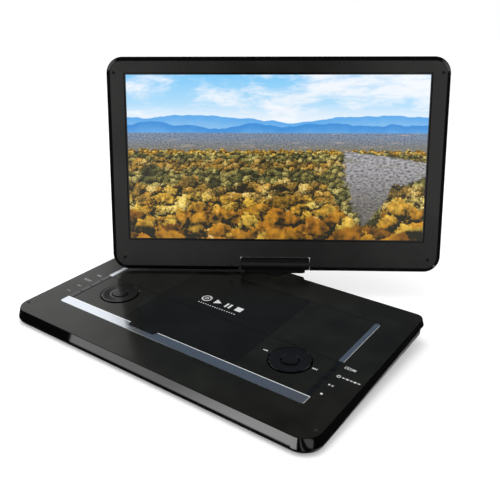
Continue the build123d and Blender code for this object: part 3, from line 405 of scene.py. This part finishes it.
def landscape(name):
    """A made-up view on the display: sky, far hills, a plain, and autumn scrub with a gravel path."""
    sh = Shader(name)
    split = sh.node("SeparateXYZ", {0: sh.coords["UV"]}).outputs
    across, up = split[0], split[1]
    plane = sh.node("CombineXYZ", {0: sh.mul(across, 1.83), 1: up}).outputs[0]
    sky = sh.ramp(up, (0.7, colour("#d3e9fb")), (0.85, colour("#a9daf9")), (1.0, colour("#7cc8f8")))
    cloud = sh.noise((1.6, 5.0, 1.0), 9.0, 0.62, plane, 0.4)
    wisps = sh.noise((5.0, 20.0, 1.0), 7.0, 0.65, plane, 0.6)
    cover = sh.smooth(sh.add(sh.add(cloud, sh.mul(wisps, 0.3)), sh.mul(across, 0.1)), 0.6, 0.82)
    cover = sh.math("MAXIMUM", cover, sh.smooth(up, 0.84, 0.72, 0.0, 0.75))
    view = sh.mix(cover, sky, sh.mix(wisps, colour("#e4eefa"), colour("#fbfdff")))
    for base, rise, scale, seed, far, near in ((0.73, 0.09, 2.9, 6.0, "#5fabea", "#8cc2ee"),
                                               (0.685, 0.07, 5.2, 8.0, "#3f8fd8", "#6aaee8")):
        line = sh.node("CombineXYZ", {0: sh.mul(across, scale), 1: seed}).outputs[0]
        ridge = sh.add(sh.mul(sh.sub(sh.noise(1.0, 5.0, 0.5, line), 0.5), rise * 2.4), base + 0.02)
        haze = sh.smooth(sh.sub(ridge, up), 0.0, 0.09)
        folds = sh.mul(sh.noise((26.0, 44.0, 1.0), 5.0, 0.7, plane), 0.7)
        hill = sh.mix(sh.math("ADD", haze, sh.sub(folds, 0.35), clamp=True), colour(far), colour(near))
        view = sh.mix(sh.smooth(sh.sub(ridge, up), 0.0, 0.004), view, hill)
    speckle = sh.noise((70.0, 170.0, 1.0), 6.0, 0.85, plane)
    streaks = sh.noise((6.0, 46.0, 1.0), 4.0, 0.6, plane)
    plain = sh.mix(sh.smooth(up, 0.54, 0.655), colour("#84806f"), colour("#7f93ae"))
    plain = sh.mix(sh.smooth(speckle, 0.47, 0.6, 0.0, 0.85), plain, colour("#3b4357"))
    plain = sh.mix(sh.smooth(speckle, 0.44, 0.36, 0.0, 0.6), plain, colour("#c9bdb6"))
    plain = sh.mix(sh.smooth(streaks, 0.56, 0.72, 0.0, 0.6), plain, colour("#bfae9f"))
    view = sh.mix(sh.smooth(up, 0.66, 0.652), view, plain)
    greens, rusts, golds, embers = (
        tuple(zip((0.1, 0.35, 0.6, 0.9), map(colour, shades)))
        for shades in (("#4c4b26", "#77733d", "#a2954b", "#dcc974"),
                       ("#6d5a28", "#a88334", "#d29c36", "#efcf76"),
                       ("#a57a1e", "#d59b2b", "#f0bf3c", "#fae07c"),
                       ("#925c12", "#bd7c18", "#db9b24", "#f0c84e")))
    for base, rise, count, seed, palette, clump in (
            (0.545, 0.020, 40.0, 5.0, golds, 62.0), (0.520, 0.030, 24.0, 17.0, greens, 46.0),
            (0.470, 0.050, 15.0, 31.0, rusts, 36.0), (0.410, 0.060, 11.0, 43.0, greens, 28.0)):
        view = bush_layer(sh, view, across, up, plane, base, rise, count, seed, palette, clump)
    view = gravel_path(sh, view, across, up, plane)
    # the foreground drops away where the path runs
    gap = sh.mul(sh.smooth(across, 0.66, 0.775), sh.smooth(across, 0.9, 0.83))
    for base, rise, count, seed, palette, clump, blur, dip in (
            (0.320, 0.090, 8.0, 64.0, rusts, 20.0, 0.0, 0.32),
            (0.225, 0.12, 6.0, 58.0, golds, 14.0, 0.2, 0.25),
            (0.140, 0.11, 5.0, 71.3, embers, 8.0, 0.6, 0.12),
            (0.015, 0.09, 4.0, 90.6, embers, 6.0, 0.9, 0.0)):
        raised = sh.add(up, sh.mul(gap, dip))
        view = bush_layer(sh, view, across, raised, plane, base, rise, count, seed, palette, clump, blur)
    path = sh.node("LightPath").outputs
    # painted reflection: polished faces nearby see an even dim blue-grey tone in place of the picture
    glow = sh.mix(path["Is Glossy Ray"], view, (0.08, 0.1, 0.13, 1.0))
    strength = sh.math("MAXIMUM", path["Is Camera Ray"], path["Is Glossy Ray"])
    sh.material.cycles.emission_sampling = "NONE"
    return sh.finish(Base_Color=colour("#050506"), Roughness=0.25,
                     Emission_Color=glow, Emission_Strength=strength)


# ---- small printed marks: thin raised shapes, in millimetres on the deck ----
def bar(x, y, width, height):
    w, h = width / 2, height / 2
    return [[(x - w, y - h), (x + w, y - h), (x + w, y + h), (x - w, y + h)]]


def arrow(x, y, size, turn=0.0):
    """A solid triangle that points along +X, turned by some degrees."""
    points = []
    for k in range(3):
        angle = math.radians(turn + 120 * k)
        points.append((x + size * math.cos(angle), y + size * math.sin(angle)))
    return [points]


def ring(x, y, outer, inner, start=0.0, end=360.0):
    steps = max(4, int(abs(end - start) / 15))
    shapes = []
    for k in range(steps):
        a, b = (math.radians(start + (end - start) * n / steps) for n in (k, k + 1))
        corners = ((outer, a), (outer, b), (inner, b), (inner, a))
        shapes.append([(x + r * math.cos(t), y + r * math.sin(t)) for r, t in corners])
    return shapes


def outline(x, y, width, height, line):
    return (bar(x, y + (height - line) / 2, width, line) + bar(x, y - (height - line) / 2, width, line)
            + bar(x - (width - line) / 2, y, line, height - 2 * line)
            + bar(x + (width - line) / 2, y, line, height - 2 * line))


def play(x, y, size):
    return arrow(x, y, size)


def pause(x, y, size):
    return bar(x - size * 0.45, y, size * 0.45, size * 1.6) + bar(x + size * 0.45, y, size * 0.45, size * 1.6)


def stop(x, y, size):
    return bar(x, y, size * 1.4, size * 1.4)


def skip(x, y, size, way):
    turn = 0.0 if way > 0 else 180.0
    return (arrow(x - way * size * 0.9, y, size, turn) + arrow(x + way * size * 0.5, y, size, turn)
            + bar(x + way * size * 1.75, y, size * 0.35, size * 1.7))


def rays(x, y, inner, outer, line, count=8):
    shapes = []
    for k in range(count):
        angle = 2 * math.pi * k / count
        c, s = math.cos(angle), math.sin(angle)
        shapes.append([(x + r * c - w * s, y + r * s + w * c)
                       for r, w in ((inner, -line / 2), (outer, -line / 2), (outer, line / 2), (inner, line / 2))])
    return shapes


def printed(name, shapes, body, ink, height=0.06, sink=0.01):
    """One mesh of thin extruded shapes standing on the deck, riding a body."""
    bm = bmesh.new()
    for points in shapes:
        low = [bm.verts.new((x * MM, y * MM, -sink * MM)) for x, y in points]
        high = [bm.verts.new((x * MM, y * MM, height * MM)) for x, y in points]
        bm.faces.new(high)
        bm.faces.new(low[::-1])
        for k in range(len(points)):
            n = (k + 1) % len(points)
            bm.faces.new((low[k], low[n], high[n], high[k]))
    bmesh.ops.recalc_face_normals(bm, faces=bm.faces[:])
    bm.transform(deck_frame)
    mesh = bpy.data.meshes.new(name)
    bm.to_mesh(mesh)
    bm.free()
    piece = bpy.data.objects.new(name, mesh)
    bpy.context.scene.collection.objects.link(piece)
    piece.data.materials.append(ink)
    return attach(piece, body)


def deck_marks():
    """Plain symbols beside the keys: function on the right, brightness, colour and volume on the left."""
    marks = outline(168.4, -12.0, 6.4, 3.6, 0.5) + arrow(168.4, -12.0, 1.1)
    marks += bar(174.6, -10.9, 4.4, 0.6) + bar(174.6, -12.0, 4.4, 0.6) + bar(174.6, -13.1, 4.4, 0.6)
    marks += ring(167.0, -28.0, 2.0, 1.2)
    for k in range(5):
        marks += bar(171.9 + 3.9 * k, -28.0, 2.6, 2.0 if k % 2 else 1.2)
    marks += play(165.8, -44.0, 1.5) + pause(169.2, -44.0, 1.3) + stop(166.5, -59.5, 1.6)
    marks += skip(PAD_X - 28.3, PAD_Y + 0.5, 1.5, -1) + skip(PAD_X + 26.6, PAD_Y + 1.0, 1.5, 1)
    printed("printed_marks_right", marks, "base", print_ink("printed_ink", "#bdbdbd", "#dedede"))
    marks = bar(-171.3, -59.8, 6.6, 0.6) + bar(-170.4, -44.7, 6.6, 0.6) + bar(-170.4, -44.7, 0.6, 3.6)
    marks += ring(-176.6, -29.2, 1.2, 0.0) + rays(-176.6, -29.2, 1.8, 2.8, 0.45)
    marks += bar(-170.6, -28.2, 7.0, 0.6) + bar(-170.6, -30.2, 7.0, 0.6)
    for k in (-1, 0, 1):
        marks += bar(-169.6, -13.9 + 1.2 * k, 6.6, 0.5)
    printed("printed_marks_left", marks, "base", print_ink("printed_ink_dim", "#9b9b9b", "#b5b5b5"))


def door_marks():
    """A plain disc symbol with play, pause and stop, and a row of dots under them."""
    x, y = -26.0, 17.5
    marks = ring(x, y, 6.2, 5.0) + ring(x, y, 2.2, 1.3)
    marks += ring(x, y, 4.1, 3.5, 20, 80) + ring(x, y, 4.1, 3.5, 200, 260)
    marks += play(x + 15.0, y, 5.6) + pause(x + 30.5, y, 5.4) + stop(x + 45.0, y, 6.0)
    for k in range(16):
        marks += ring(x - 3.0 + 3.3 * k, y - 11.0, 0.8, 0.0)
    printed("printed_marks_door", marks, "door", print_ink("printed_ink_door", "#c9c9c9", "#e9e9e9"))


def screen_picture():
    """The lit face of the display, just proud of the panel."""
    w, h = PICTURE_WIDTH / 2 * MM, PICTURE_HEIGHT / 2 * MM
    y, middle = -(PANEL_FACE + 0.08) * MM, PICTURE_MIDDLE * MM
    mesh = bpy.data.meshes.new("screen_picture")
    corners = [(-w, y, middle - h), (w, y, middle - h), (w, y, middle + h), (-w, y, middle + h)]
    back = [(a, b + 0.07 * MM, c) for a, b, c in corners]
    sides = [(k, (k + 1) % 4, (k + 1) % 4 + 4, k + 4) for k in range(4)]
    mesh.from_pydata(corners + back, [], [(0, 1, 2, 3), (7, 6, 5, 4)] + [side[::-1] for side in sides])
    uv = mesh.uv_layers.new(name="UVMap")
    for loop in mesh.loops:
        x, _, z = (corners + back)[loop.vertex_index]
        uv.data[loop.index].uv = ((x + w) / (2 * w), (z - middle + h) / (2 * h))
    mesh.transform(lid_frame)
    piece = bpy.data.objects.new("screen_picture", mesh)
    bpy.context.scene.collection.objects.link(piece)
    mesh.materials.append(landscape("display_picture"))
    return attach(piece, "lid")


# ---- assign looks to the CAD pieces ----
def coat(material, *names):
    for name in names:
        slots = frame["nodes"][name].data.materials
        slots.clear()
        slots.append(material)


gloss = gloss_plastic("gloss_black")
steel = brushed_metal("zinc_steel", "#b4b8bc")
dark_tray = textured_plastic("dark_tray", "#17181a", 0.3, 0.01, 0.45)
keys = [f"{side}_key_{k}" for side in ("left", "right") for k in (1, 2, 3, 4)]

coat(moulded_shell("deck_black", deck_up, "#23241f", 0.2, ior=1.36), "base_top_cover")
coat(moulded_shell("door_black", deck_up, "#181916", 0.18, ior=1.36), "disc_door")
coat(moulded_shell("bezel_black", -lid_back, "#1f1f1d", 0.22, 0.08, 1.5, mirror_glow=0.1), "lid_front_bezel")
coat(gloss_plastic("lid_back_gloss", "#070708", 0.06), "lid_back_cover")
coat(gloss_plastic("barrel_black", "#0b0b0a", 0.3), "hinge_barrel")
coat(gloss, "open_button", "power_switch", *keys)
coat(moulded_shell("pad_black", deck_up, "#131314", 0.2, 0.06), "left_nav_ring", "right_nav_ring",
     "left_ok_button", "right_ok_button")
coat(textured_plastic("case_black", "#0c0c0d", roughness=0.34), "base_bottom_case")
coat(plated_silver("trim_silver_long", (40.0, 2600.0, 2600.0)), "front_trim_strip")
coat(plated_silver("trim_silver_side", (2600.0, 40.0, 2600.0)), "side_trim_strips")
coat(soft_rubber("rubber", "#060606"), "rubber_feet", "deck_bumpers", "lid_bumpers",
     "left_rocker_pivot", "right_rocker_pivot")
coat(circuit_board("board_green"), "key_boards", "main_board", "driver_board")
coat(shrink_wrap("battery_wrap"), "battery_pack")
coat(coated_lens("lens_coating"), "objective_lens")
coat(panel_glass("panel_glass"), "display_panel")
coat(braided_cable("cable_sleeve"), "display_cable")
coat(screw_thread("lead_screw_brass", "#c9a957", 3.0), "lead_screw")
coat(paper_cone("speaker_paper"), "speakers")
coat(dark_tray, "disc_well", "door_latch", "pickup_sled", "spindle_hub", "audio_jacks", "dc_jack")
coat(brushed_metal("black_screws", "#3a3a3d", 900.0, 0.4), "case_screws", "bezel_screws")
coat(brushed_metal("polished_steel", "#c8ccd0", (30.0, 3000.0, 3000.0), 0.18),
     "guide_rails", "door_hinge_pins", "tilt_pins", "swivel_shaft")
coat(brushed_metal("aluminium_back", "#a3a7ab", (50.0, 1500.0, 1500.0), 0.4), "backlight_unit")
coat(steel, "drive_chassis", "sled_motor", "spindle_motor", "switch_body", "card_slot", "usb_socket",
     "swivel_bracket", "friction_sleeves", "shaft_washers", "latch_spring", "lid_hinge_brackets")

deck_marks()
door_marks()
screen_picture()


# ---- floor, light and camera ----
# Polished faces mirror a darker studio than the camera sees: brightness by direction, and by place on
# the floor. Each pair is an edge, from where it is dark to where it is lit; bearings are in radians left
# of straight behind, heights are sines, floor places are metres.
MIRROR_DARK = 0.03
WALL_LEFT, WALL_END = (math.radians(49.2), math.radians(51.0)), (1.5, 1.4)
WALL_TOP = (0.75, 0.68)
WALL_BRIGHT, BEHIND, PANELS = 1.12, 0.09, 0.7
PANEL_RIGHT, PANEL_RIGHT_END = (-2.1, -1.9), (-0.35, -0.55)
PANEL_LEFT, PANEL_LEFT_END = (1.55, 1.65), (2.35, 2.25)
PANEL_FOOT, PANEL_TOP = (0.12, 0.2), (0.8, 0.7)
CAMERA_SIDE, CAMERA_SIDE_WIDTH, CAMERA_SIDE_BRIGHT = math.radians(147.5), math.radians(15.0), 0.9
FRONT_RIM_Y, RIM_SHADE = -0.193, 0.02  # m: the front rim, and how far its own shade reaches
FLOOR_BRIGHT, FLOOR_BRIGHTER = 3.6, 9.0
FRONT_LIT_X, FRONT_LIT_Y = (0.186, 0.180), (-0.33, -0.29)
FAR_FRONT_X, FAR_FRONT_Y, FAR_FRONT_BRIGHT = (-0.1, 0.1), (-0.5, -0.7), 0.4
REAR_X, REAR_Y, REAR_END_Y = (0.16, 0.02), (0.1, 0.22), (2.5, 1.0)
CORNER_X, CORNER_END_X, CORNER_Y, CORNER_BRIGHT = (0.222, 0.225), (0.26, 0.25), (-0.19, -0.2), 2.0
BESIDE_X, BESIDE_END_X, BESIDE_BRIGHT = (0.197, 0.199), (0.206, 0.203), 1.6
SHADOW_FILL = 0.2


def floor_mirror(sh):
    """What the floor shows to a polished face: dark, but lit in front, behind and close by the right side."""
    place = sh.node("NewGeometry").outputs["Position"]
    axis = sh.node("SeparateXYZ", {0: place}).outputs
    ahead = sh.smooth(axis[1], FRONT_RIM_Y - RIM_SHADE, FRONT_RIM_Y - RIM_SHADE - 0.004)
    right_of = sh.sub(sh.add(axis[0], 0.0983), sh.add(axis[1], -FRONT_RIM_Y))
    lit = sh.every(ahead, sh.smooth(right_of, 0.0, 0.004), sh.smooth(axis[0], *FRONT_LIT_X),
                   sh.smooth(axis[1], *FRONT_LIT_Y))
    beyond = sh.every(sh.smooth(axis[1], *FAR_FRONT_Y), sh.smooth(axis[0], *FAR_FRONT_X))
    rear = sh.every(sh.smooth(axis[1], *REAR_Y), sh.smooth(axis[1], *REAR_END_Y), sh.smooth(axis[0], *REAR_X))
    glow = sh.smooth(axis[0], 0.0, 0.13, FLOOR_BRIGHT, FLOOR_BRIGHTER)
    corner = sh.every(sh.smooth(axis[0], *CORNER_X), sh.smooth(axis[0], *CORNER_END_X),
                      sh.smooth(axis[1], *CORNER_Y))
    beside = sh.every(sh.smooth(axis[0], *BESIDE_X), sh.smooth(axis[0], *BESIDE_END_X))
    tone = sh.add(sh.add(MIRROR_DARK, sh.mul(lit, glow)), sh.add(sh.mul(beyond, FAR_FRONT_BRIGHT), rear))
    return sh.add(tone, sh.add(sh.mul(corner, CORNER_BRIGHT), sh.mul(beside, BESIDE_BRIGHT)))


def floor():
    bpy.ops.mesh.primitive_plane_add(size=12.0, location=(0, 0, 0))
    plane = bpy.context.object
    plane.name = "floor"
    sh = Shader("floor_white")
    path = sh.node("LightPath").outputs
    mirrored = path["Is Glossy Ray"]
    tone = sh.mix(sh.noise(3.0), colour("#f4f4f4"), colour("#fbfbfb"))
    tone = sh.mix(mirrored, tone, colour("#000000"))
    strength = sh.add(sh.mul(floor_mirror(sh), mirrored), sh.mul(path["Is Camera Ray"], SHADOW_FILL))
    plane.data.materials.append(sh.finish(Base_Color=tone, Roughness=0.9, Specular_IOR_Level=0.0,
                                          Emission_Color=(1, 1, 1, 1), Emission_Strength=strength))
    sh.material.cycles.emission_sampling = "NONE"


def area_light(name, place, aim, size, watts):
    light = bpy.data.lights.new(name, "AREA")
    light.shape, light.size, light.size_y, light.energy = "RECTANGLE", size[0], size[1], watts
    lamp = bpy.data.objects.new(name, light)
    lamp.location = place
    lamp.rotation_euler = (Vector(aim) - Vector(place)).to_track_quat("-Z", "Y").to_euler()
    lamp.visible_glossy = False
    bpy.context.scene.collection.objects.link(lamp)


def studio():
    """White to the camera, even light for matt faces, and the darker room that polished faces mirror."""
    world = bpy.data.worlds.new("studio")
    bpy.context.scene.world = world
    world.use_nodes = True
    tree = world.node_tree
    sh = Shader.__new__(Shader)
    sh.tree = tree
    direction = sh.node("TexCoord").outputs["Generated"]
    axis = sh.node("SeparateXYZ", {0: direction}).outputs
    bearing = sh.math("ARCTAN2", sh.mul(axis[0], -1.0), axis[1])
    low = sh.smooth(axis[2], *WALL_TOP)
    wall = sh.every(sh.smooth(bearing, *WALL_LEFT), sh.smooth(bearing, *WALL_END), low)
    behind = sh.every(sh.smooth(bearing, -0.3, 0.1), sh.smooth(bearing, *WALL_LEFT[::-1]), low)
    off_camera = sh.math("ABSOLUTE", sh.sub(sh.math("ABSOLUTE", bearing), CAMERA_SIDE))
    facing_us = sh.every(sh.smooth(off_camera, 0.02, CAMERA_SIDE_WIDTH), sh.smooth(off_camera, 0.55, 0.4),
                         sh.smooth(bearing, 0.0, -0.1), sh.smooth(axis[2], 0.6, 0.5))
    panel_right = sh.every(sh.smooth(bearing, *PANEL_RIGHT), sh.smooth(bearing, *PANEL_RIGHT_END))
    panel_left = sh.every(sh.smooth(bearing, *PANEL_LEFT), sh.smooth(bearing, *PANEL_LEFT_END))
    panels = sh.every(sh.add(panel_left, panel_right), sh.smooth(axis[2], *PANEL_FOOT),
                      sh.smooth(axis[2], *PANEL_TOP))
    tone = sh.add(sh.add(MIRROR_DARK, sh.add(sh.mul(wall, WALL_BRIGHT), sh.mul(panels, PANELS))),
                  sh.add(sh.mul(behind, BEHIND), sh.mul(facing_us, CAMERA_SIDE_BRIGHT)))
    path = sh.node("LightPath").outputs
    soft = sh.sub(1.0, path["Is Glossy Ray"])
    tone = sh.add(sh.mul(tone, sh.sub(1.0, soft)), sh.mul(soft, 0.9))
    tone = sh.math("MAXIMUM", tone, path["Is Camera Ray"])
    background = tree.nodes["Background"]
    grey = sh.node("CombineColor", {0: tone, 1: tone, 2: tone})
    tree.links.new(grey.outputs[0], background.inputs["Color"])


CAMERA_TARGET = Vector((-11.54, 12.22, 67.52)) * MM
CAMERA_AZIMUTH, CAMERA_ELEVATION = math.radians(34.725), math.radians(22.072)
CAMERA_ROLL = math.radians(1.755)
CAMERA_DISTANCE, CAMERA_LENS = 0.747, 45.573


def camera():
    back = Vector((math.sin(CAMERA_AZIMUTH) * math.cos(CAMERA_ELEVATION),
                   -math.cos(CAMERA_AZIMUTH) * math.cos(CAMERA_ELEVATION), math.sin(CAMERA_ELEVATION)))
    data = bpy.data.cameras.new("camera")
    data.lens = CAMERA_LENS
    data.sensor_width = 36.0
    data.clip_start = 0.01
    cam = bpy.data.objects.new("camera", data)
    bpy.context.scene.collection.objects.link(cam)
    cam.rotation_mode = "QUATERNION"
    cam.location = CAMERA_TARGET + back * CAMERA_DISTANCE
    roll = Matrix.Rotation(CAMERA_ROLL, 3, "Z").to_quaternion()
    cam.rotation_quaternion = (-back).to_track_quat("-Z", "Y") @ roll
    bpy.context.scene.camera = cam


floor()
studio()
area_light("overhead_softbox", (-0.2, -0.1, 1.3), (0, 0, 0), (1.2, 1.0), 7.0)
camera()
bpy.context.scene.view_settings.view_transform = "Standard"
